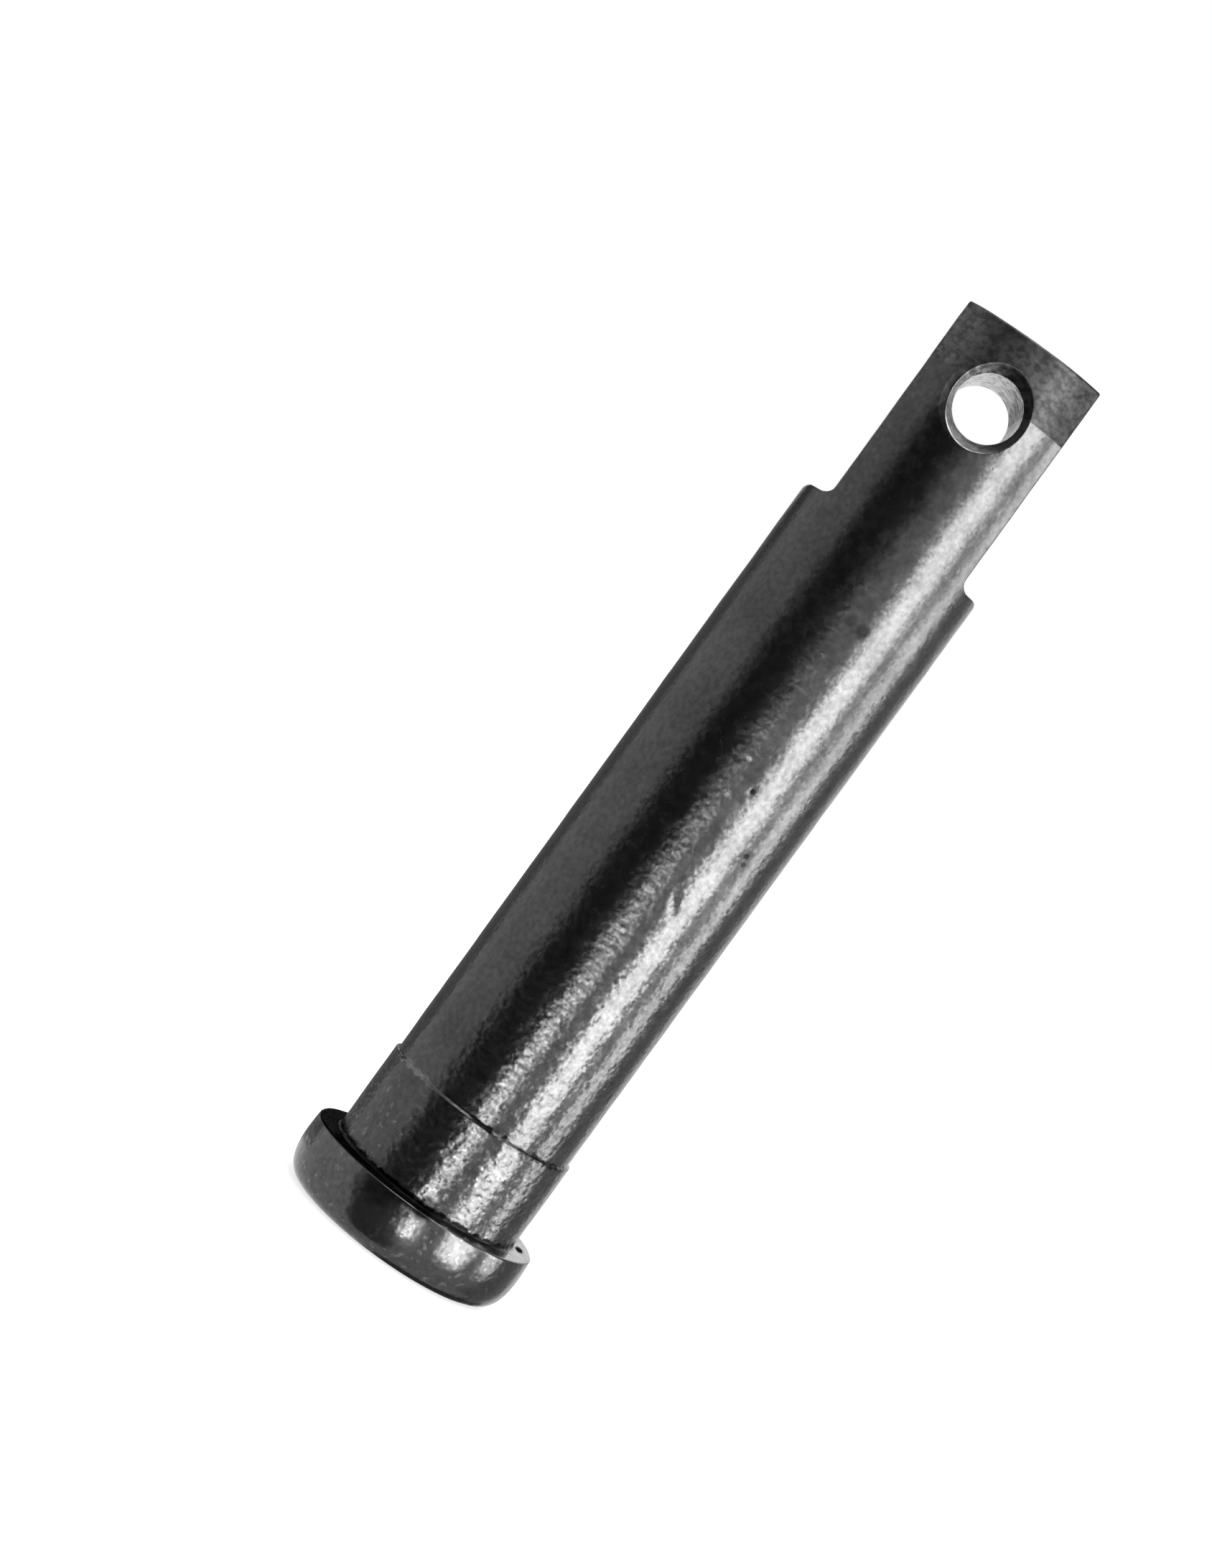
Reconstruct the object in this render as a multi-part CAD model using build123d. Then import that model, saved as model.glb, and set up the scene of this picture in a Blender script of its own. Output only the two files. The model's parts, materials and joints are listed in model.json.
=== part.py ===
from build123d import *

import math
import os

# Headed clevis pin, forged in one piece from black steel bar.
#
# The pin stands on its head. The origin is the middle of the head's flat end, +Z runs
# along the pin to its tip, the cross hole runs along Y, and the two flats of the end
# face +X and -X. All sizes are in millimetres.

# Shank
SHANK_DIAMETER = 25.4
UNDER_HEAD_LENGTH = 125.4
TIP_BREAK = 0.3

# Head, upset from the bar: a low barrel with a large soft corner at its free end
HEAD_DIAMETER = 32.0
HEAD_HEIGHT = 8.0
HEAD_SIDE_DROP = 0.15
HEAD_CORNER_WIDTH = 3.2
HEAD_CORNER_HEIGHT = 5.2
HEAD_CORNER_FULLNESS = 0.69
BEARING_EDGE_RADIUS = 0.3

# Collar, the length of bar that the heading dies left a little thicker
COLLAR_STEP = 0.38
COLLAR_LENGTH = 12.3
COLLAR_EDGE_LENGTH = 0.3
NECK_RADIUS = 0.3

# Two flats, milled on opposite sides of the end
END_THICKNESS = 19.0
END_LENGTH = 28.4
END_ROOT_RADIUS = 1.4
SHOULDER_RADIUS = 0.9

# Cross hole for the split pin, drilled a little off the middle and countersunk at both ends
HOLE_DIAMETER = 8.4
HOLE_FROM_TIP = 9.4
HOLE_OFFSET = -0.35
COUNTERSINK_WIDTH = 1.3
COUNTERSINK_ANGLE = 60

# How far a cutter runs past the metal that it takes away
CUTTER_OVERRUN = 2.0

shank_radius = SHANK_DIAMETER / 2
collar_radius = shank_radius + COLLAR_STEP
head_radius = HEAD_DIAMETER / 2
collar_top = HEAD_HEIGHT + COLLAR_LENGTH
tip_height = HEAD_HEIGHT + UNDER_HEAD_LENGTH
shoulder_height = tip_height - END_LENGTH
shoulder_width = (SHANK_DIAMETER - END_THICKNESS) / 2


def head_side():
    """Side of the head, from its flat end out to the widest ring and up to the bearing face."""
    flat_radius = head_radius - HEAD_CORNER_WIDTH
    corner = Bezier(
        (flat_radius, 0),
        (flat_radius + HEAD_CORNER_FULLNESS * HEAD_CORNER_WIDTH, 0),
        (head_radius, (1 - HEAD_CORNER_FULLNESS) * HEAD_CORNER_HEIGHT),
        (head_radius, HEAD_CORNER_HEIGHT),
    )
    barrel = TangentArc(corner @ 1, (head_radius - HEAD_SIDE_DROP, HEAD_HEIGHT), tangent=(0, 1))
    return Line((0, 0), corner @ 0) + corner + barrel


def turned_blank():
    """Head, collar and shank, turned about the axis."""
    bearing_edge = (head_radius - HEAD_SIDE_DROP, HEAD_HEIGHT)
    neck = (collar_radius, HEAD_HEIGHT)
    tip = (0, tip_height)
    stem = Polyline(
        bearing_edge,
        neck,
        (collar_radius, collar_top - COLLAR_EDGE_LENGTH),
        (shank_radius, collar_top),
        (shank_radius, tip_height - TIP_BREAK),
        (shank_radius - TIP_BREAK, tip_height),
        tip,
    )
    section = make_face(head_side() + stem + Line(tip, (0, 0)))
    section = fillet(section.vertices().sort_by_distance(neck)[0], NECK_RADIUS)
    section = fillet(section.vertices().sort_by_distance(bearing_edge)[0], BEARING_EDGE_RADIUS)
    return revolve(Plane.XZ * section, Axis.Z)


def flat_cutter():
    """Metal milled off the +X side of the end: a flat, its root, and the shoulder's soft corner."""
    flat = END_THICKNESS / 2
    root_radius = min(END_ROOT_RADIUS, shoulder_width / 2)
    corner_radius = min(SHOULDER_RADIUS, shoulder_width / 3)
    over_tip = tip_height + CUTTER_OVERRUN
    outside = shank_radius + CUTTER_OVERRUN

    side = Polyline(
        (flat - TIP_BREAK - CUTTER_OVERRUN, over_tip),
        (flat, tip_height - TIP_BREAK),
        (flat, shoulder_height + root_radius),
    )
    root = TangentArc(side @ 1, (flat + root_radius, shoulder_height), tangent=(0, -1))
    corner_start = (shank_radius - corner_radius, shoulder_height)
    corner_end = (shank_radius, shoulder_height - corner_radius)
    seat = Line(root @ 1, corner_start)
    corner = TangentArc(seat @ 1, corner_end, tangent=(1, 0))
    back = Polyline(corner_end, (outside, corner_end[1]), (outside, over_tip), side @ 0)
    section = make_face(side + root + seat + corner + back)
    return extrude(Plane.XZ * section, amount=shank_radius + CUTTER_OVERRUN, both=True)


def cross_hole():
    """Metal drilled out across the end, with a countersink at each breakout."""
    bore_radius = HOLE_DIAMETER / 2
    flare = math.tan(math.radians(COUNTERSINK_ANGLE / 2))
    straight = shank_radius - COUNTERSINK_WIDTH / flare
    reach = shank_radius + CUTTER_OVERRUN
    rim = bore_radius + (reach - straight) * flare
    section = make_face(
        Polyline(
            (0, -reach),
            (rim, -reach),
            (bore_radius, -straight),
            (bore_radius, straight),
            (rim, reach),
            (0, reach),
            (0, -reach),
        )
    )
    drill = revolve(section, Axis.Y)
    return Pos(HOLE_OFFSET, 0, tip_height - HOLE_FROM_TIP) * drill


def clevis_pin():
    """The whole pin, one solid."""
    cutter = flat_cutter()
    pin = turned_blank() - cutter - mirror(cutter, about=Plane.YZ) - cross_hole()
    pin.label = "clevis_pin"
    return pin


os.makedirs("parts", exist_ok=True)
export_step(clevis_pin(), "parts/clevis_pin.step")
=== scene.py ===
"""Looks of the clevis pin: black forged steel in a white studio.

All sizes are in metres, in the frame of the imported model. The pin stands on its head, +Z runs
to its tip, its cross hole runs along Y, and the camera looks at it from -Y. In the comments,
left is -X, right is +X, above is towards the tip, and the front is the side towards -Y.
"""
import json
import math
from collections import namedtuple
from types import SimpleNamespace

import bmesh
import bpy
import numpy as np
from mathutils import Matrix, Vector, noise


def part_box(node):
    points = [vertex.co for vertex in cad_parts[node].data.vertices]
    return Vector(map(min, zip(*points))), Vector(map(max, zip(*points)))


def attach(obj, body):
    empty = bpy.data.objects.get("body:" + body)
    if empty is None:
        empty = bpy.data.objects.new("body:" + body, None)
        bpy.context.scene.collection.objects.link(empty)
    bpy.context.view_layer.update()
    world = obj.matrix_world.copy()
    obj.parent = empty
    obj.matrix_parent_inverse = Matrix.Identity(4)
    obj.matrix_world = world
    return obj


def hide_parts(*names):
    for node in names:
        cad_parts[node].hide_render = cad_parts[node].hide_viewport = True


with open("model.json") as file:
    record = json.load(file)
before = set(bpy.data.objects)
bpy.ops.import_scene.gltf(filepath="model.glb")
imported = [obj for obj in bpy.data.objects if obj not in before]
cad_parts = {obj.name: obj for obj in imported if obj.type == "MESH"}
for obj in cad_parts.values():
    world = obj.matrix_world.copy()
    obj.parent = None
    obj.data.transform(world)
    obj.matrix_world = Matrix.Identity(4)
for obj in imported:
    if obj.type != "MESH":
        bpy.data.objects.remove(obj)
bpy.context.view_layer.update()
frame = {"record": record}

MM = 0.001

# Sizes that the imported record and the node's box give
mounts = {mount["name"]: mount for mount in frame["record"]["mounts"]}
_, high_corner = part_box("clevis_pin")
TIP_Z = high_corner.z
HEAD_R = high_corner.x
SHANK_R = mounts["shank"]["dims"]["r_mm"] * MM
SHANK_LENGTH = mounts["shank"]["dims"]["length_mm"] * MM
SHANK_MIDDLE_Z = mounts["shank"]["pos_m"][2]
COLLAR_R = mounts["collar"]["dims"]["r_mm"] * MM
COLLAR_TOP_Z = SHANK_MIDDLE_Z - SHANK_LENGTH / 2
TIP_BREAK = TIP_Z - SHANK_MIDDLE_Z - SHANK_LENGTH / 2
BEARING_Z = mounts["bearing_face"]["pos_m"][2]
FLAT_X = mounts["end_flat_right"]["pos_m"][0]
SHOULDER_Z = 2 * mounts["end_flat_right"]["pos_m"][2] - TIP_Z
HOLE_R = mounts["cotter_hole"]["dims"]["r_mm"] * MM
HOLE_HALF = mounts["cotter_hole"]["dims"]["length_mm"] * MM / 2
HOLE_X, _, HOLE_Z = mounts["cotter_hole"]["pos_m"]

# Corners and edges, as in the CAD model
HEAD_CORNER_WIDTH = 3.2 * MM
HEAD_CORNER_HEIGHT = 5.2 * MM
HEAD_CORNER_FULLNESS = 0.69
HEAD_SIDE_DROP = 0.15 * MM
BEARING_EDGE_R = 0.3 * MM
NECK_R = 0.3 * MM
COLLAR_EDGE = 0.3 * MM
ROOT_R = 1.4 * MM
SHOULDER_R = 0.9 * MM
COUNTERSINK_ANGLE = 60

# What follows from them. The milled profile comes in from the round by the shoulder's soft
# corner, runs level to the root, and turns up into the flat.
COUNTERSINK_FLARE = math.tan(math.radians(COUNTERSINK_ANGLE / 2))
CORNER_X = SHANK_R - SHOULDER_R
CORNER_LENGTH = SHOULDER_R * math.pi / 2
ROOT_X = FLAT_X + ROOT_R
FLAT_FOOT_Z = SHOULDER_Z + ROOT_R

# Half of the angle that a flat takes of the round, and half of the angle that the round keeps
FLAT_ANGLE = math.acos(FLAT_X / SHANK_R)
ROUND_ANGLE = math.pi / 2 - FLAT_ANGLE

# How fine the mesh is, and how near an edge its last row lies
ROW = 0.45 * MM
COLUMN = 0.37 * MM
EDGE = 0.15 * MM
HEAD_CORNER_POINTS = 16
BEARING_EDGE_POINTS = 6
NECK_POINTS = 5
TIP_BREAK_POINTS = 6
SAME_POINT = 1e-7
JOIN_DISTANCE = 0.002 * MM

# The turned part of the mesh ends a little below the shoulders
CUT_FOOT_Z = SHOULDER_Z - SHOULDER_R - 2.5 * MM

# Rows along the milled profile and down the countersink, as shares of the way, and how near an
# end the last one lies
PROFILE_STEP, PROFILE_GAP = 1 / 12, 0.04
CONE_STEP, CONE_GAP = 0.2, 0.08

# The mesh round the hole fills a square block, half as wide as this, in rows at these shares of
# the way in. The countersink's mouth is found in so many rounds, each closer than the last.
HOLE_BLOCK = 7.0 * MM
BLOCK_SHARES = (0, 0.16, 0.32, 0.48, 0.64, 0.8, 0.92)
RIM_ROUNDS = 40

# Rows of the tip's end face, as shares of its size
TIP_FACE_SHARES = (0.985, 0.95, 0.9, 0.8, 0.65, 0.5, 0.35, 0.2, 0.1, 0)


class Skin:
    """Grids of points that meet at their borders, joined at the end into one closed mesh."""

    def __init__(self):
        self.points = []
        self.faces = []

    def grid(self, rows, closed=False, holds=lambda row, column: True):
        """Quads between each row of points and the next, where holds(row, column) says so."""
        rows = np.asarray(rows, float)
        count, width = rows.shape[:2]
        base = len(self.points)
        self.points.extend(rows.reshape(-1, 3).tolist())
        for i in range(count - 1):
            for j in range(width if closed else width - 1):
                if holds(i, j):
                    a = base + i * width + j
                    b = base + i * width + (j + 1) % width
                    self.faces.append((a, b, b + width, a + width))

    def mesh(self, name):
        """One mesh, with the points that lie on each other joined and all faces outwards."""
        build = bmesh.new()
        corners = [build.verts.new(point) for point in self.points]
        for face in self.faces:
            build.faces.new([corners[index] for index in face])
        bmesh.ops.remove_doubles(build, verts=build.verts, dist=JOIN_DISTANCE)
        bmesh.ops.recalc_face_normals(build, faces=build.faces)
        mesh = bpy.data.meshes.new(name)
        build.to_mesh(mesh)
        build.free()
        return mesh


def even(start, stop, step):
    """Evenly spaced values from start to stop, about one step apart."""
    return np.linspace(start, stop, max(2, round(abs(stop - start) / step) + 1))


def held(values, gap):
    """The same values, with one more close inside each end."""
    way = np.sign(values[-1] - values[0])
    inner = [values[0] + way * gap], values[1:-1], [values[-1] - way * gap]
    return np.concatenate([values[:1], *inner, values[-1:]])


def arc(centre, radius, from_degrees, to_degrees, count):
    """Points of the turned outline on an arc, as (radius, height)."""
    angles = np.radians(np.linspace(from_degrees, to_degrees, count))
    return np.stack([centre[0] + radius * np.cos(angles), centre[1] + radius * np.sin(angles)], 1)


def line(start, stop, step, gap=None):
    """Points of the turned outline from start to stop, as (radius, height)."""
    length = math.dist(start, stop)
    along = even(0, length, step)
    if gap:
        along = held(along, gap)
    share = along[:, None] / length
    return np.asarray(start) * (1 - share) + np.asarray(stop) * share


def head_outline():
    """Outline of the head, from the middle of its end to the foot of the collar."""
    flat_r = HEAD_R - HEAD_CORNER_WIDTH
    t = np.linspace(0, 1, HEAD_CORNER_POINTS)[:, None]
    corner = (
        (1 - t) ** 3 * (flat_r, 0)
        + 3 * (1 - t) ** 2 * t * (flat_r + HEAD_CORNER_FULLNESS * HEAD_CORNER_WIDTH, 0)
        + 3 * (1 - t) * t**2 * (HEAD_R, (1 - HEAD_CORNER_FULLNESS) * HEAD_CORNER_HEIGHT)
        + t**3 * (HEAD_R, HEAD_CORNER_HEIGHT)
    )
    side_top_z = BEARING_Z - BEARING_EDGE_R
    heights = even(HEAD_CORNER_HEIGHT, side_top_z, ROW)
    up_side = (heights - HEAD_CORNER_HEIGHT) / (BEARING_Z - HEAD_CORNER_HEIGHT)
    side = np.stack([HEAD_R - HEAD_SIDE_DROP * up_side**2, heights], 1)
    edge_r = side[-1][0] - BEARING_EDGE_R
    return [
        line((0, 0), (flat_r, 0), 2 * ROW),
        corner,
        side,
        arc((edge_r, side_top_z), BEARING_EDGE_R, 0, 90, BEARING_EDGE_POINTS),
        line((edge_r, BEARING_Z), (COLLAR_R + NECK_R, BEARING_Z), ROW),
    ]


def stem_outline():
    """Outline of the collar and of the shank below the shoulders."""
    neck_z = BEARING_Z + NECK_R
    edge_z = COLLAR_TOP_Z - COLLAR_EDGE
    return [
        arc((COLLAR_R + NECK_R, neck_z), NECK_R, 270, 180, NECK_POINTS),
        line((COLLAR_R, neck_z), (COLLAR_R, edge_z), ROW, EDGE),
        line((COLLAR_R, edge_z), (SHANK_R, COLLAR_TOP_Z), COLLAR_EDGE / 2),
        line((SHANK_R, COLLAR_TOP_Z), (SHANK_R, CUT_FOOT_Z), ROW, EDGE),
    ]


def turned_outline():
    """Radius and height of each ring of the turned part, each once."""
    points = np.concatenate(head_outline() + stem_outline())
    outline = [points[0]]
    for point in points[1:]:
        if math.dist(point, outline[-1]) > SAME_POINT:
            outline.append(point)
    return outline


def flat_ways(side):
    """Directions of the columns in the quarter of the round that a flat cuts, about +X or -X."""
    angles = held(even(-FLAT_ANGLE, FLAT_ANGLE, COLUMN / SHANK_R), EDGE / SHANK_R)
    return np.stack([side * np.cos(angles), np.sin(angles)], 1)


def round_ways(side):
    """Directions of the columns that stay round up to the tip, about +Y or -Y."""
    angles = held(even(-ROUND_ANGLE, ROUND_ANGLE, COLUMN / SHANK_R), EDGE / SHANK_R)
    return np.stack([np.sin(angles), side * np.cos(angles)], 1)


def upright(ways, heights):
    """Grid of points on the shank's round; heights has one row for each ring."""
    rows = [[(SHANK_R * x, SHANK_R * y, z) for (x, y), z in zip(ways, ring)] for ring in heights]
    return np.array(rows)


def rising(tops):
    """Heights of the rings from the turned part up to tops, with one more close under them."""
    shares = even(0, 1, ROW / (FLAT_FOOT_Z - CUT_FOOT_Z))[:-1]
    rings = [CUT_FOOT_Z + (tops - CUT_FOOT_Z) * share for share in shares]
    return rings + [tops - EDGE, tops]


def cut_length(x):
    """How far along the milled profile it has come in from the round to x."""
    if x >= CORNER_X:
        return SHOULDER_R * math.acos(min(1, (x - CORNER_X) / SHOULDER_R))
    if x >= ROOT_X:
        return CORNER_LENGTH + CORNER_X - x
    turned = math.asin(min(1, (ROOT_X - x) / ROOT_R))
    return CORNER_LENGTH + CORNER_X - ROOT_X + ROOT_R * turned


def cut_place(length):
    """Distance from the YZ plane and height of the milled profile at a length along it."""
    if length <= CORNER_LENGTH:
        angle = length / SHOULDER_R
        height = SHOULDER_Z + SHOULDER_R * (math.sin(angle) - 1)
        return CORNER_X + SHOULDER_R * math.cos(angle), height
    length -= CORNER_LENGTH
    if length <= CORNER_X - ROOT_X:
        return CORNER_X - length, SHOULDER_Z
    angle = (length - (CORNER_X - ROOT_X)) / ROOT_R
    return ROOT_X - ROOT_R * math.sin(angle), SHOULDER_Z + ROOT_R * (1 - math.cos(angle))


def milled_end(skin, side, end_heights):
    """The quarter with a flat: round up to the cut, then the shoulder, its root and the flat."""
    ways = flat_ways(side)
    starts = [cut_length(SHANK_R * abs(x)) for x, _ in ways]
    tops = np.array([cut_place(start)[1] for start in starts])
    skin.grid(upright(ways, rising(tops)))

    full = cut_length(FLAT_X)
    rows = []
    for share in held(even(0, 1, PROFILE_STEP), PROFILE_GAP):
        spots = [cut_place(start + (full - start) * share) for start in starts]
        rows.append([(side * x, SHANK_R * way[1], z) for (x, z), way in zip(spots, ways)])
    skin.grid(rows)
    skin.grid([[(side * FLAT_X, SHANK_R * y, z) for _, y in ways] for z in end_heights])


def rim_radius(angle):
    """Radius of the countersink's mouth on the round, in a direction round the hole."""
    radius = HOLE_R
    for _ in range(RIM_ROUNDS):
        out = math.sqrt(SHANK_R**2 - (HOLE_X + radius * math.cos(angle)) ** 2)
        radius = HOLE_R + (out - HOLE_HALF) * COUNTERSINK_FLARE
    return radius


def block_border(xs, zs):
    """Corners of the grid round a block, once round, as (x, z)."""
    lower = [(x, zs[0]) for x in xs[:-1]]
    right = [(xs[-1], z) for z in zs[:-1]]
    upper = [(x, zs[-1]) for x in xs[:0:-1]]
    left = [(xs[0], z) for z in zs[:0:-1]]
    return np.array(lower + right + upper + left)


def hole_mouth(skin, side, border):
    """Skin from the border of the block to the countersink, and down it to the bore.

    Returns the bore's first ring.
    """
    middle = (HOLE_X, HOLE_Z)
    away = border - middle
    angles = np.arctan2(away[:, 1], away[:, 0])
    reach = np.array([rim_radius(angle) for angle in angles])
    turn = np.stack([np.cos(angles), np.sin(angles)], 1)

    near_rim = turn * (reach + EDGE)[:, None] + middle
    rows = [border * (1 - share) + near_rim * share for share in BLOCK_SHARES]
    rows += [near_rim, turn * reach[:, None] + middle]
    on_round = [[(x, side * math.sqrt(SHANK_R**2 - x**2), z) for x, z in row] for row in rows]
    skin.grid(on_round, closed=True)

    cone = []
    for share in held(even(0, 1, CONE_STEP), CONE_GAP):
        radius = reach * (1 - share) + HOLE_R * share
        ring = turn * radius[:, None] + middle
        out = HOLE_HALF + (radius - HOLE_R) / COUNTERSINK_FLARE
        cone.append([(x, side * y, z) for (x, z), y in zip(ring, out)])
    skin.grid(cone, closed=True)
    return np.array(cone[-1])


def round_end(skin, side, end_heights):
    """The quarter that stays round up to the tip, with a mouth of the cross hole in it.

    Returns the bore's first ring.
    """
    ways = round_ways(side)
    skin.grid(upright(ways, rising(np.full(len(ways), FLAT_FOOT_Z))))

    xs = SHANK_R * ways[:, 0]
    left, right = np.searchsorted(xs, (HOLE_X - HOLE_BLOCK, HOLE_X + HOLE_BLOCK))
    low, high = np.searchsorted(end_heights, (HOLE_Z - HOLE_BLOCK, HOLE_Z + HOLE_BLOCK))
    skin.grid(
        upright(ways, [np.full(len(ways), z) for z in end_heights]),
        holds=lambda i, j: not (low <= i < high and left <= j < right),
    )
    border = block_border(xs[left : right + 1], end_heights[low : high + 1])
    return hole_mouth(skin, side, border)


def bore(skin, front, back):
    """The hole's wall, from one countersink to the other."""
    length = 2 * HOLE_HALF
    shares = held(even(0, 1, ROW / length), EDGE / length)
    skin.grid([front * (1 - share) + back * share for share in shares], closed=True)


def tip_levels():
    """Rings of the tip, as how far in from the sides, height, and share of the face's size."""
    angles = np.radians(np.linspace(0, 90, TIP_BREAK_POINTS))
    levels = [(TIP_BREAK * (1 - math.cos(a)), TIP_Z + TIP_BREAK * (math.sin(a) - 1), 1) for a in angles]
    return levels + [(TIP_BREAK, TIP_Z, share) for share in TIP_FACE_SHARES]


def tip(skin):
    """The broken edge round the tip, and its end face."""
    for side in (1, -1):
        round_rows, flat_rows = [], []
        for inset, z, share in tip_levels():
            radius, half = SHANK_R - inset, FLAT_X - inset
            angle = math.asin(half / radius)
            lean = np.arcsin(round_ways(1)[:, 0]) * angle / ROUND_ANGLE
            round_rows.append(
                [(share * radius * math.sin(a), share * side * radius * math.cos(a), z) for a in lean]
            )
            narrowing = radius * math.cos(angle) / (SHANK_R * math.sin(FLAT_ANGLE))
            ys = SHANK_R * flat_ways(1)[:, 1] * narrowing
            flat_rows.append([(share * side * half, share * y, z) for y in ys])
        skin.grid(round_rows)
        skin.grid(flat_rows)


def pin_mesh():
    """The whole pin, one closed mesh."""
    skin = Skin()
    outline = turned_outline()
    for side in (1, -1):
        for ways in (flat_ways(side), round_ways(side)):
            skin.grid([[(r * x, r * y, z) for x, y in ways] for r, z in outline])
    end_heights = held(even(FLAT_FOOT_Z, TIP_Z - TIP_BREAK, ROW), EDGE)
    for side in (1, -1):
        milled_end(skin, side, end_heights)
    front = round_end(skin, -1, end_heights)
    back = round_end(skin, 1, end_heights)
    bore(skin, front, back)
    tip(skin)
    return skin.mesh("clevis_pin_skin")


# Unevenness of the forged skin, as (size across, depth), and the head's own on top of it
SKIN_WAVES = [(6 * MM, 0.035 * MM), (3 * MM, 0.015 * MM), (1.5 * MM, 0.006 * MM)]
HEAD_WAVES = [(7 * MM, 0.05 * MM), (3.5 * MM, 0.015 * MM)]

# The head's end and the bore stay even, and the head's own waves fade in over this height
STILL_END = 0.3 * MM
STILL_ROUND_BORE = 0.1 * MM
HEAD_WAVES_FADE = 1.5 * MM

# Marks on the front, as (x, height) of each end, half width, depth, and how much darker they are, from
# 0 to 1. Two are lighter, and the last is no mark but painted shade on the head, which dims the top of
# the light spot reflected there.
Mark = namedtuple("Mark", "start end half_width depth darkness")
MARKS = [
    Mark((3.6 * MM, 71.0 * MM), (3.7 * MM, 71.4 * MM), 0.5 * MM, 0.08 * MM, 0.85),
    Mark((7.5 * MM, 64.6 * MM), (7.8 * MM, 64.3 * MM), 0.55 * MM, 0.10 * MM, 0.75),
    Mark((7.9 * MM, 63.6 * MM), (8.0 * MM, 63.2 * MM), 0.45 * MM, 0.08 * MM, 0.65),
    Mark((3.4 * MM, 55.7 * MM), (4.5 * MM, 54.1 * MM), 0.6 * MM, 0.12 * MM, 0),
    Mark((2.8 * MM, 94.0 * MM), (3.2 * MM, 94.1 * MM), 1.2 * MM, 0.02 * MM, 0.6),
    Mark((1.0 * MM, 94.3 * MM), (1.4 * MM, 94.4 * MM), 1.1 * MM, 0.02 * MM, 0.45),
    Mark((0.9 * MM, 74.0 * MM), (1.1 * MM, 74.2 * MM), 0.5 * MM, 0.04 * MM, -1.3),
    Mark((1.3 * MM, 69.0 * MM), (1.4 * MM, 69.3 * MM), 0.45 * MM, 0.04 * MM, -1.0),
    # Painted shade, not a mark: dims the top of the light spot on the head
    Mark((0.8 * MM, 8.3 * MM), (1.4 * MM, 8.3 * MM), 1.8 * MM, 0, 0.8),
]


def from_middle_line(mark, x, z):
    """Distance of a place on the front from a mark's middle line."""
    run, rise = mark.end[0] - mark.start[0], mark.end[1] - mark.start[1]
    share = ((x - mark.start[0]) * run + (z - mark.start[1]) * rise) / (run * run + rise * rise)
    share = min(1, max(0, share))
    return math.hypot(x - mark.start[0] - share * run, z - mark.start[1] - share * rise)


def wave(point, waves):
    """Sum of the waves' heights at a point."""
    return sum(depth * noise.noise(point / size) for size, depth in waves)


def relief_at(point):
    """How far the skin stands out at a point: waves, and a nick here and there."""
    from_hole = math.hypot(point.x - HOLE_X, point.z - HOLE_Z)
    if point.z < STILL_END or from_hole < HOLE_R + STILL_ROUND_BORE:
        return 0
    move = wave(point, SKIN_WAVES)
    if point.z < BEARING_Z - BEARING_EDGE_R:
        move += wave(point, HEAD_WAVES) * min(1, point.z / HEAD_WAVES_FADE)
    if point.y < 0:
        for mark in MARKS:
            away = from_middle_line(mark, point.x, point.z) / mark.half_width
            if mark.depth and away < 1:
                move -= mark.depth * (1 - away * away) ** 2
    return move


def relief(mesh):
    """Moves the skin's points a little along their normals."""
    spots = np.empty(3 * len(mesh.vertices), dtype=np.float32)
    normals = np.empty_like(spots)
    mesh.vertices.foreach_get("co", spots)
    mesh.vertex_normals.foreach_get("vector", normals)
    moves = [relief_at(Vector(spot)) for spot in spots.reshape(-1, 3)]
    spots += normals * np.repeat(np.array(moves, dtype=np.float32), 3)
    mesh.vertices.foreach_set("co", spots)
    mesh.update()


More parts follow.
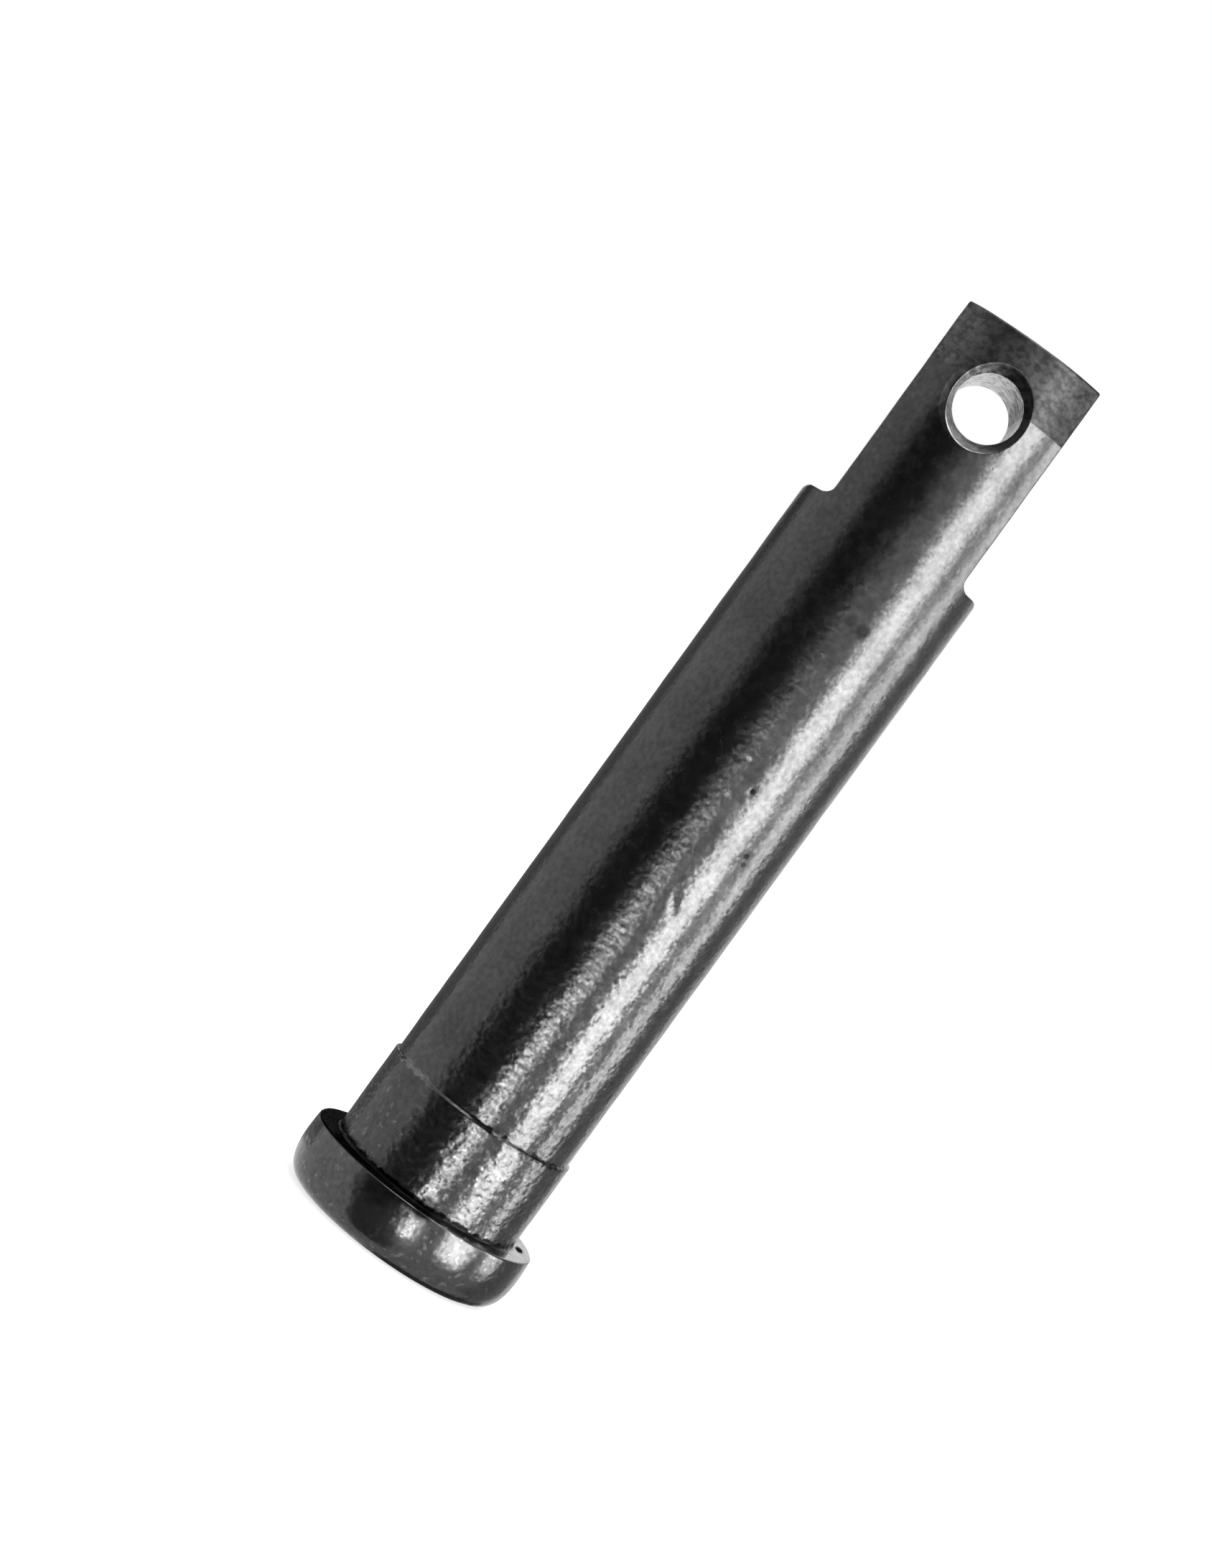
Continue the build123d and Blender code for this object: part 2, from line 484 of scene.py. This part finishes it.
class Nodes:
    """A node tree, with short ways to add and link nodes."""

    def __init__(self, tree):
        self.tree = tree
        tree.nodes.clear()

    def add(self, kind, **settings):
        """A new node, with its settings."""
        node = self.tree.nodes.new("ShaderNode" + kind)
        for name, value in settings.items():
            setattr(node, name, value)
        return node

    def put(self, socket, value):
        """Links an output to the socket, or sets the socket's own value."""
        if isinstance(value, bpy.types.NodeSocket):
            self.tree.links.new(value, socket)
        else:
            socket.default_value = value

    def math(self, operation, *values):
        """A sum, product or other result of one or two values."""
        node = self.add("Math", operation=operation)
        for socket, value in zip(node.inputs, values):
            self.put(socket, value)
        return node.outputs[0]

    def vector_math(self, operation, *vectors):
        """A sum, product or other result of one or two vectors."""
        node = self.add("VectorMath", operation=operation)
        for socket, vector in zip(node.inputs, vectors):
            self.put(socket, vector)
        return node.outputs[0]

    def times(self, value, *factors):
        """Product of a value and its factors."""
        for factor in factors:
            value = self.math("MULTIPLY", value, factor)
        return value

    def scaled(self, vector, factor):
        """A vector times a number."""
        node = self.add("VectorMath", operation="SCALE")
        self.put(node.inputs[0], vector)
        self.put(node.inputs["Scale"], factor)
        return node.outputs[0]

    def spread(self, value, from_low, from_high, to_low, to_high, soft=True):
        """Maps a range to another, held at both ends."""
        node = self.add("MapRange", interpolation_type="SMOOTHSTEP" if soft else "LINEAR")
        for name, number in zip(
            ("Value", "From Min", "From Max", "To Min", "To Max"),
            (value, from_low, from_high, to_low, to_high),
        ):
            self.put(node.inputs[name], number)
        return node.outputs["Result"]

    def band(self, value, low, high, edge):
        """1 from low to high, 0 elsewhere, with soft edges that wide."""
        rise = self.spread(value, low - edge, low, 0, 1)
        return self.times(rise, self.spread(value, high, high + edge, 1, 0))

    def length(self, a, b):
        """Length of a vector with these two parts."""
        return self.math("SQRT", self.math("ADD", self.times(a, a), self.times(b, b)))

    def blend(self, mask, base, over):
        """base where the mask is 0, over where it is 1."""
        node = self.add("Mix", data_type="FLOAT")
        for socket, value in zip((node.inputs[0], node.inputs[2], node.inputs[3]), (mask, base, over)):
            self.put(socket, value)
        return node.outputs[0]

    def noise(self, place, size, detail, roughness=0.5):
        """Noise with blobs of about that size."""
        node = self.add("TexNoise")
        self.put(node.inputs["Vector"], place)
        self.put(node.inputs["Scale"], 1 / size)
        self.put(node.inputs["Detail"], detail)
        self.put(node.inputs["Roughness"], roughness)
        return node

    def pattern(self, place, pattern):
        """A Pattern's values."""
        fac = self.noise(place, pattern.size, pattern.detail, pattern.roughness).outputs["Fac"]
        return self.spread(fac, *pattern.ramp)

    def grey(self, value):
        """A colour with the same value in each channel."""
        node = self.add("CombineColor")
        for socket in node.inputs[:3]:
            self.put(socket, value)
        return node.outputs[0]

    def split(self, vector):
        """The three parts of a vector."""
        node = self.add("SeparateXYZ")
        self.put(node.inputs[0], vector)
        return node.outputs

    def finish(self, kind, surface):
        """Puts a shader on the tree's output."""
        self.put(self.add(kind).inputs["Surface"], surface)


def new_material(name):
    """A material, and its empty node tree."""
    material = bpy.data.materials.new(name)
    material.use_nodes = True
    return material, Nodes(material.node_tree)


# A Ramp is (start, stop, value up to start, value from stop on); it is soft unless it ends with
# LINEAR. A Pattern is noise: the blobs' size, its detail, and a ramp from the noise to a value.
LINEAR = False
Pattern = namedtuple("Pattern", "size detail ramp roughness", defaults=(0.5,))

# The share of light that the steel reflects face-on, and patterns that it is multiplied by
BLACK_OXIDE = 0.065
LIGHTEST = 0.95
PATCHES = Pattern(0.7 * MM, 2, (0.3, 0.7, 0.8, 1.2, LINEAR))
CLOUDS = Pattern(6 * MM, 2, (0.3, 0.7, 0.88, 1.12, LINEAR))
BLOTCHES = Pattern(0.85 * MM, 2, (0.35, 0.65, 0.72, 1.32), 0.6)
BLOTCH_STRETCH = (0.8, 0.8, 1.3)
SPECKS = Pattern(0.8 * MM, 1, (0.62, 0.74, 1, 1.8))
CRUST = Pattern(1.6 * MM, 2, (0.42, 0.58, 0.05, 0.7))

# Factors of the tone from place to place: along Z for the whole pin, along X for the head, for
# the filed end past the finish line and for the bearing face, and across the hole for its wall
# Painted shade: the whole pin a little lighter near the head and darker towards the tip
PAINTED_SHADE_TO_TIP = (20 * MM, 115 * MM, 1.04, 0.92, LINEAR)
SPECKED = (12 * MM, 25 * MM, 1, 0)
HEAD_TONE = (-0.6 * HEAD_R, 0.3 * HEAD_R, 1.3, 0.949)
FILED_TONE = 0.9
# Painted shade on the filed end: lighter on the left, darker on the right
FILED_SHADE = (-4 * MM, 8 * MM, 1.35, 0.4)
# Painted shade on the bearing face, darker to the left
FACE_SHADE = (-0.7 * HEAD_R, 0.1 * HEAD_R, 0.3, 1)
BORE_TONE = (-0.6 * HOLE_R, 0.5 * HOLE_R, 13.5, 11.475, LINEAR)

# The line where the collar meets the bearing face is nearly black
FOOT_TONE = 0.08

# The countersink is bare metal, painted lighter on its lower left and darker on its upper right, with a
# painted highlight on its rim below and a painted highlight ring outside it on the lower left
SLANT = (0.97, 0.4)
CONE_TONE = (-0.9 * HOLE_R, 0.6 * HOLE_R, 7.0, 0.5)
RIM_HIGHLIGHT_BELOW = (-1.1 * HOLE_R, -0.5 * HOLE_R, 2.5, 0)
RIM_HIGHLIGHT_OUTSIDE = (HOLE_R + 0.2 * MM, HOLE_R + 1.2 * MM, 0, 1)
HALO_SIDE = (-1.3 * HOLE_R, -0.7 * HOLE_R, 1, 0)
HALO_TONE = 2.2

# The collar's edge carries a crust to the right of the middle, and a painted highlight on the left
CRUST_SIDE = (-3 * MM, 0, 0, 1)
SEAM_HIGHLIGHT_SIDE = (-9 * MM, -5 * MM, 1, 0)
SEAM_HIGHLIGHT_TONE = 1.8

# A chip in the bearing face, drawn out along Y
CHIP_X, CHIP_Y = 14.0 * MM, 1.0 * MM
CHIP_STRETCH = 0.4
CHIP_SHADE = (0.35 * MM, 0.75 * MM, 0.1, 1)

# The share of a mark's half width that has its full tone
MARK_CORE = 0.4

# Where each kind of surface lies. A band is (low, high, width of its soft edges).
INSIDE = 0.04 * MM
CONE_REACH = 1.6 * MM
RAGGED = 1.4 * MM
ON_HEAD = (BEARING_Z - 0.2 * MM, BEARING_Z + 0.2 * MM, 1, 0)
FINISH_LINE_Z = TIP_Z - 7.85 * MM
ON_FILED = (FINISH_LINE_Z - 0.1 * MM, FINISH_LINE_Z + 0.1 * MM, 0, 1)
BY_COLLAR = (COLLAR_R + 0.3 * MM, COLLAR_R + 0.5 * MM, 1, 0)
FOOT_BAND = (BEARING_Z - 0.5 * MM, BEARING_Z + 0.5 * MM, 0.2 * MM)
FACE_BAND = (BEARING_Z - 0.12 * MM, BEARING_Z + 0.03 * MM, 0.02 * MM)
SEAM_BAND = (COLLAR_TOP_Z - 0.4 * MM, COLLAR_TOP_Z + 0.15 * MM, 0.15 * MM)
HALO_BAND = (HOLE_R + 1.0 * MM, HOLE_R + 1.5 * MM, 0.2 * MM)

# Roughness, and how much less the dull end reflects at a low angle
ROUGHNESS = Pattern(1.5 * MM, 2, (0.3, 0.7, 0.23, 0.29, LINEAR))
ROUGHER_UP = (15 * MM, 100 * MM, 0.9, 1.06, LINEAR)
HEAD_ROUGHNESS = 0.21
FILED_ROUGHNESS = 0.43
CONE_ROUGHNESS = 0.4
BORE_ROUGHNESS = 0.5
FILED_EDGE_TINT = 0.4

# The skin's fine height: grain, a broader swell, and pits
GRAIN_SIZE, GRAIN_DETAIL = 0.85 * MM, 0.5
GRAIN_STRETCH = (1, 1, 1.15)
GRAIN_HEIGHT = (15 * MM, 90 * MM, 0.065 * MM, 0.025 * MM, LINEAR)
HEAD_GRAIN_HEIGHT = 0.03 * MM
HOLE_GRAIN_HEIGHT = 0.02 * MM
SWELL_SIZE, SWELL_DETAIL = 2.6 * MM, 1
SWELL_HEIGHT = (15 * MM, 60 * MM, 0.075 * MM, 0.05 * MM, LINEAR)
HEAD_SWELL_HEIGHT = 0.05 * MM
PITS = Pattern(1.3 * MM, 2, (0.66, 0.76, 0, -1))
PIT_DEPTH = 0.008 * MM

# How far the normal is tilted at random, from one crystal to the next
CRYSTAL_SIZE, CRYSTAL_DETAIL = 0.4 * MM, 1
CRYSTAL_TILT = (15 * MM, 110 * MM, 0.165, 0.11, LINEAR)
HEAD_CRYSTAL_TILT = 0.05


def places(nodes):
    """Where a point is on the pin, in object coordinates and from the hole's middle."""
    at = SimpleNamespace(vector=nodes.add("TexCoord").outputs["Object"])
    at.x, at.y, at.z = nodes.split(at.vector)
    at.radius = nodes.length(at.x, at.y)
    at.across = nodes.math("SUBTRACT", at.x, HOLE_X)
    at.along = nodes.math("SUBTRACT", at.z, HOLE_Z)
    at.from_hole = nodes.length(at.across, at.along)
    at.slant = nodes.math("ADD", nodes.times(at.across, SLANT[0]), nodes.times(at.along, SLANT[1]))
    ragged = nodes.math("SUBTRACT", nodes.noise(at.vector, RAGGED, 2).outputs["Fac"], 0.5)
    at.ragged_z = nodes.math("ADD", at.z, nodes.times(ragged, RAGGED))
    return at


def face_painted_shade_and_chip(nodes, at):
    """Factor of the bearing face: painted shade, darker to the left, with a chip on the right."""
    aside = nodes.math("SUBTRACT", at.x, CHIP_X)
    behind = nodes.times(nodes.math("SUBTRACT", at.y, CHIP_Y), CHIP_STRETCH)
    chip = nodes.spread(nodes.length(aside, behind), *CHIP_SHADE)
    return nodes.times(nodes.spread(at.x, *FACE_SHADE), chip)


def surfaces(nodes, at):
    """Masks from 0 to 1 for each kind of surface."""
    inside = nodes.math("LESS_THAN", at.radius, SHANK_R - INSIDE)
    by_hole = nodes.math("LESS_THAN", at.from_hole, HOLE_R + CONE_REACH)
    in_bore = nodes.math("LESS_THAN", at.from_hole, HOLE_R + INSIDE)
    foot = nodes.band(at.ragged_z, *FOOT_BAND)
    halo = nodes.band(at.from_hole, *HALO_BAND)
    seam = nodes.band(at.ragged_z, *SEAM_BAND)
    on = SimpleNamespace(
        head=nodes.spread(at.z, *ON_HEAD),
        filed=nodes.spread(at.z, *ON_FILED),
        hole=nodes.times(inside, by_hole),
        bore=nodes.times(inside, in_bore),
        foot=nodes.times(foot, nodes.spread(at.radius, *BY_COLLAR)),
        face=nodes.band(at.z, *FACE_BAND),
        halo=nodes.times(halo, nodes.spread(at.slant, *HALO_SIDE)),
        crusted_seam=nodes.times(seam, nodes.spread(at.x, *CRUST_SIDE)),
        seam_highlight=nodes.times(seam, nodes.spread(at.x, *SEAM_HIGHLIGHT_SIDE)),
    )
    on.cone = nodes.math("SUBTRACT", on.hole, on.bore)
    return on


def marked(nodes, tone, at):
    """Darkens or lightens the marks, and paints the shade on the head, on the front only."""
    back = nodes.math("GREATER_THAN", at.y, 0)
    for mark in MARKS:
        if mark.darkness:
            aside = nodes.math("SUBTRACT", at.x, (mark.start[0] + mark.end[0]) / 2)
            off = nodes.math("SUBTRACT", at.z, (mark.start[1] + mark.end[1]) / 2)
            core = MARK_CORE * mark.half_width
            stain_and_shade = nodes.spread(
                nodes.length(aside, off), core, mark.half_width, 1 - mark.darkness, 1
            )
            tone = nodes.times(tone, nodes.math("MAXIMUM", stain_and_shade, back))
    return tone


def steel_tone(nodes, at, on, painted_shade_and_chip):
    """How much light the steel reflects: patches and clouds, and what each place does to them, painted
    shade and highlights among them.
    """
    blotches = nodes.pattern(nodes.vector_math("MULTIPLY", at.vector, BLOTCH_STRETCH), BLOTCHES)
    # The filed end's blotches, with painted shade darkening its right side
    filed = nodes.times(blotches, nodes.spread(at.x, *FILED_SHADE), FILED_TONE)
    # Painted highlight on the countersink's rim below, and painted light and shade across the
    # countersink
    rim = nodes.times(nodes.spread(at.along, *RIM_HIGHLIGHT_BELOW), nodes.spread(at.from_hole, *RIM_HIGHLIGHT_OUTSIDE))
    cone = nodes.times(nodes.math("ADD", nodes.spread(at.slant, *CONE_TONE), rim), blotches)

    tone = nodes.times(nodes.pattern(at.vector, PATCHES), nodes.pattern(at.vector, CLOUDS))
    tone = nodes.times(tone, BLACK_OXIDE, nodes.spread(at.z, *PAINTED_SHADE_TO_TIP))
    for mask, factor in (
        (on.head, nodes.spread(at.x, *HEAD_TONE)),
        (nodes.spread(at.z, *SPECKED), nodes.pattern(at.vector, SPECKS)),
        (on.filed, filed),
        (on.cone, cone),
        (on.bore, nodes.times(blotches, nodes.spread(at.across, *BORE_TONE))),
        (on.foot, FOOT_TONE),
        # painted highlight ring outside the countersink on the lower left
        (on.halo, HALO_TONE),
        # painted shade on the bearing face, and its chip
        (on.face, painted_shade_and_chip),
        (on.crusted_seam, nodes.pattern(at.vector, CRUST)),
        # painted highlight along the collar's edge on the left
        (on.seam_highlight, SEAM_HIGHLIGHT_TONE),
    ):
        tone = nodes.times(tone, nodes.blend(mask, 1, factor))
    return nodes.math("MINIMUM", marked(nodes, tone, at), LIGHTEST)


def edge_tint(nodes, on, painted_shade_and_chip):
    """How much of the light the steel reflects at a low angle."""
    dull = nodes.math("SUBTRACT", on.filed, on.bore)
    # The bearing face's painted shade and its chip also lower its reflection at a low angle
    return nodes.times(nodes.blend(dull, 1, FILED_EDGE_TINT), nodes.blend(on.face, 1, painted_shade_and_chip))


def steel_roughness(nodes, at, on):
    """Roughness: half glossy, a little rougher towards the tip, dull past the finish line."""
    rough = nodes.times(nodes.pattern(at.vector, ROUGHNESS), nodes.spread(at.z, *ROUGHER_UP))
    for mask, value in (
        (on.head, HEAD_ROUGHNESS),
        (on.filed, FILED_ROUGHNESS),
        (on.hole, CONE_ROUGHNESS),
        (on.bore, BORE_ROUGHNESS),
    ):
        rough = nodes.blend(mask, rough, value)
    return rough


def skin_height(nodes, at, on):
    """Fine height of the skin: grain, a broader swell, and shallow pits."""
    stretched = nodes.vector_math("MULTIPLY", at.vector, GRAIN_STRETCH)
    grain = nodes.noise(stretched, GRAIN_SIZE, GRAIN_DETAIL).outputs["Fac"]
    grain_height = nodes.blend(on.head, nodes.spread(at.z, *GRAIN_HEIGHT), HEAD_GRAIN_HEIGHT)
    grain_height = nodes.blend(on.hole, grain_height, HOLE_GRAIN_HEIGHT)
    swell = nodes.noise(at.vector, SWELL_SIZE, SWELL_DETAIL).outputs["Fac"]
    swell_height = nodes.blend(on.head, nodes.spread(at.z, *SWELL_HEIGHT), HEAD_SWELL_HEIGHT)
    height = nodes.math("ADD", nodes.times(grain, grain_height), nodes.times(swell, swell_height))
    return nodes.math("ADD", height, nodes.times(nodes.pattern(at.vector, PITS), PIT_DEPTH))


def steel_normal(nodes, at, on):
    """Normal of the skin, tilted at random from crystal to crystal, most near the head."""
    bump = nodes.add("Bump")
    nodes.put(bump.inputs["Strength"], 1.0)
    nodes.put(bump.inputs["Distance"], 1.0)
    nodes.put(bump.inputs["Height"], skin_height(nodes, at, on))
    crystals = nodes.noise(at.vector, CRYSTAL_SIZE, CRYSTAL_DETAIL).outputs["Color"]
    centred = nodes.vector_math("SUBTRACT", crystals, (0.5, 0.5, 0.5))
    amount = nodes.blend(on.head, nodes.spread(at.z, *CRYSTAL_TILT), HEAD_CRYSTAL_TILT)
    tilted = nodes.vector_math("ADD", bump.outputs[0], nodes.scaled(centred, amount))
    return nodes.vector_math("NORMALIZE", tilted)


def black_steel():
    """Black oxide on forged steel: grainy and half glossy, duller past the finish line."""
    material, nodes = new_material("black_steel")
    at = places(nodes)
    on = surfaces(nodes, at)
    painted_shade_and_chip = face_painted_shade_and_chip(nodes, at)
    shader = nodes.add("BsdfPrincipled")
    nodes.put(shader.inputs["Metallic"], 1.0)
    nodes.put(shader.inputs["Base Color"], nodes.grey(steel_tone(nodes, at, on, painted_shade_and_chip)))
    nodes.put(shader.inputs["Specular Tint"], nodes.grey(edge_tint(nodes, on, painted_shade_and_chip)))
    nodes.put(shader.inputs["Roughness"], steel_roughness(nodes, at, on))
    nodes.put(shader.inputs["Normal"], steel_normal(nodes, at, on))
    nodes.finish("OutputMaterial", shader.outputs[0])
    return material


def show(name, data):
    """Puts an object with that data in the scene."""
    piece = bpy.data.objects.new(name, data)
    bpy.context.scene.collection.objects.link(piece)
    return piece


def make_pin():
    """The pin's skin, in the place of the CAD solid."""
    mesh = pin_mesh()
    relief(mesh)
    mesh.materials.append(black_steel())
    mesh.shade_smooth()
    pin = show("clevis_pin_skin", mesh)
    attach(pin, "root")
    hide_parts("clevis_pin")


# Camera, as an aim point on the pin, a distance, a tilt above level and a roll
VIEW_AIM = Vector((-10.97 * MM, -0.1 * MM, 61.07 * MM))
VIEW_DISTANCE = 408.17 * MM
VIEW_TILT = math.radians(3.41)
VIEW_ROLL = math.radians(35.832)
LENS_MM = 76.71
SENSOR_MM = 36.0
CLIP_START = 10 * MM

# White of the world and the floor, and the even light that reaches the pin's dull surfaces
WHITE = (1, 1, 1, 1)
AMBIENT = 0.6
FLOOR_HALF = 3.0
FLOOR_PAINT = (0.8, 0.8, 0.8, 1)
FLOOR_GLOW = (0.7, 0.7, 0.7, 1)

# A soft lamp above, with its place, aim, width and power
LAMP_PLACE = Vector((0.1, -0.1, 0.6))
LAMP_AIM = Vector((0, 0, 0.06))
LAMP_WIDTH = 0.5
LAMP_WATTS = 3

# Curved cards about the pin, seen only in its reflections. Degrees run from 0, towards the
# camera, to 90, at +X. Elevations are in degrees above level from CARD_LEVEL. With fade_to, a
# card fades from its full radiance there to nothing at its upper edge.
CARD_LEVEL = 63 * MM
CARD_STEPS = 24
Card = namedtuple("Card", "name degrees elevations radiance distance fade_to", defaults=(0.6, None))
CARDS = [
    # Light streaks on the right, the gap between them, and the dim edge beyond
    Card("key_card", (40, 65.6), (-5, 30), 14),
    Card("low_key_card", (42, 65.6), (-19, -5), 15),
    Card("gap_card", (65.6, 83.8), (-5, 30), 1.4),
    Card("low_gap_card", (65.6, 85.6), (-19, -5), 0.7),
    Card("strip_card", (83.8, 101), (-5, 30), 10),
    Card("low_strip_card", (85.6, 100), (-17.5, -5), 9),
    Card("side_card", (101, 142), (-40, 40), 0.42),
    # Grainy streak down the middle, with its spot on the head
    Card("front_card", (-1, 17), (-15, -3.5), 8.2, distance=0.58, fade_to=-9),
    Card("spot_card", (3, 13), (-20, -13), 31, distance=0.58),
    Card("mid_card", (18, 41), (-18, -3.5), 0.5),
    # Dark band left of the middle, and the greys beside and below it
    Card("dark_card", (-56, -48), (-13, 40), 0.35),
    Card("black_card", (-48, 0), (-13, 40), 0.04),
    Card("grey_card", (0, 8), (-13, 40), 0.45),
    Card("low_card", (-52, 3), (-60, -13), 0.17),
    Card("left_card", (-172, -127), (-17.5, 6), 0.2),
    # Behind the pin: bearing face, bore, countersink and the head's lower corner
    Card("ring_card", (177.3, 186), (-3, 8), 0.03),
    Card("wall_card", (179, 196), (9, 24), 1.6),
    Card("rim_card", (204, 233), (6, 26), 0.03),
    Card("back_card", (165, 177.3), (-3, 40), 1.6),
    Card("under_card", (120, 182), (-80, -30), 0.1, distance=0.62),
]


def make_camera():
    """The camera, a little above level and rolled, so that the pin lies at a slant."""
    right = Vector((1, 0, 0))
    back = Vector((0, -math.cos(VIEW_TILT), math.sin(VIEW_TILT)))
    up = back.cross(right)
    rolled_right = math.cos(VIEW_ROLL) * right + math.sin(VIEW_ROLL) * up
    rolled_up = math.cos(VIEW_ROLL) * up - math.sin(VIEW_ROLL) * right
    data = bpy.data.cameras.new("camera")
    data.lens = LENS_MM
    data.sensor_width = SENSOR_MM
    data.clip_start = CLIP_START
    camera = show("camera", data)
    columns = (rolled_right, rolled_up, back, VIEW_AIM + VIEW_DISTANCE * back)
    camera.matrix_world = Matrix([*zip(*columns), (0, 0, 0, 1)])
    bpy.context.scene.camera = camera


def seen(nodes):
    """1 for camera, glossy and transmission rays, 0 for the rest."""
    path = nodes.add("LightPath").outputs
    camera_or_glossy = nodes.math("MAXIMUM", path["Is Camera Ray"], path["Is Glossy Ray"])
    return nodes.math("MAXIMUM", camera_or_glossy, path["Is Transmission Ray"])


def light(nodes, kind, colour, strength):
    """A shader that gives light of its own, an Emission or a Background."""
    node = nodes.add(kind)
    nodes.put(node.inputs["Color"], colour)
    nodes.put(node.inputs["Strength"], strength)
    return node.outputs[0]


def mixed(nodes, share, first, second):
    """Two shaders, mixed by a share from 0 to 1."""
    node = nodes.add("MixShader")
    for socket, value in zip(node.inputs, (share, first, second)):
        nodes.put(socket, value)
    return node.outputs[0]


def make_world():
    """White where it is seen, and dimmer as a light."""
    world = bpy.data.worlds.new("studio")
    bpy.context.scene.world = world
    world.use_nodes = True
    nodes = Nodes(world.node_tree)
    ambient = light(nodes, "Background", WHITE, AMBIENT)
    white = light(nodes, "Background", WHITE, 1.0)
    nodes.finish("OutputWorld", mixed(nodes, seen(nodes), ambient, white))


def make_floor():
    """A floor that is white where it is lit, and keeps the pin's shadow."""
    half = FLOOR_HALF
    mesh = bpy.data.meshes.new("floor")
    corners = [(-half, -half, 0), (half, -half, 0), (half, half, 0), (-half, half, 0)]
    mesh.from_pydata(corners, [], [(0, 1, 2, 3)])
    material, nodes = new_material("floor")
    paint = nodes.add("BsdfDiffuse")
    nodes.put(paint.inputs["Color"], FLOOR_PAINT)
    both = nodes.add("AddShader")
    nodes.put(both.inputs[0], paint.outputs[0])
    nodes.put(both.inputs[1], light(nodes, "Emission", FLOOR_GLOW, seen(nodes)))
    nodes.finish("OutputMaterial", both.outputs[0])
    mesh.materials.append(material)
    floor = show("floor", mesh)
    floor.visible_glossy = False


def card_height(card, elevation):
    """Height of a card at an elevation."""
    return CARD_LEVEL + card.distance * math.tan(math.radians(elevation))


def card_mesh(card):
    """A strip of an upright cylinder about the pin."""
    corners = []
    first, last = card.degrees
    for elevation in card.elevations:
        z = card_height(card, elevation)
        for step in range(CARD_STEPS + 1):
            angle = math.radians(first + (last - first) * step / CARD_STEPS)
            corners.append((card.distance * math.sin(angle), -card.distance * math.cos(angle), z))
    row = CARD_STEPS + 1
    faces = [(i, i + 1, i + row + 1, i + row) for i in range(CARD_STEPS)]
    mesh = bpy.data.meshes.new(card.name)
    mesh.from_pydata(corners, [], faces)
    return mesh


def card_material(card):
    """Even light, faded towards the upper edge where the card asks for it."""
    material, nodes = new_material(card.name)
    surface = light(nodes, "Emission", WHITE, card.radiance)
    if card.fade_to is not None:
        height = nodes.split(nodes.add("TexCoord").outputs["Object"])[2]
        fade_z, top_z = card_height(card, card.fade_to), card_height(card, card.elevations[1])
        share = nodes.spread(height, fade_z, top_z, 0, 1, LINEAR)
        surface = mixed(nodes, share, surface, nodes.add("BsdfTransparent").outputs[0])
    nodes.finish("OutputMaterial", surface)
    material.cycles.emission_sampling = "NONE"
    return material


def make_card(card):
    """A card, hidden from all rays but glossy ones."""
    mesh = card_mesh(card)
    mesh.materials.append(card_material(card))
    piece = show(card.name, mesh)
    piece.visible_camera = False
    piece.visible_diffuse = False
    piece.visible_shadow = False
    piece.visible_transmission = False


def make_lamp():
    """The soft lamp above, itself out of the camera's sight."""
    data = bpy.data.lights.new("top_lamp", "AREA")
    data.shape = "RECTANGLE"
    data.size = LAMP_WIDTH
    data.size_y = LAMP_WIDTH
    data.energy = LAMP_WATTS
    lamp = show("top_lamp", data)
    lamp.location = LAMP_PLACE
    lamp.rotation_euler = (LAMP_AIM - LAMP_PLACE).to_track_quat("-Z", "Y").to_euler()
    lamp.visible_camera = False


make_camera()
make_world()
make_floor()
for card in CARDS:
    make_card(card)
make_lamp()
make_pin()

bpy.context.scene.view_settings.view_transform = "Standard"
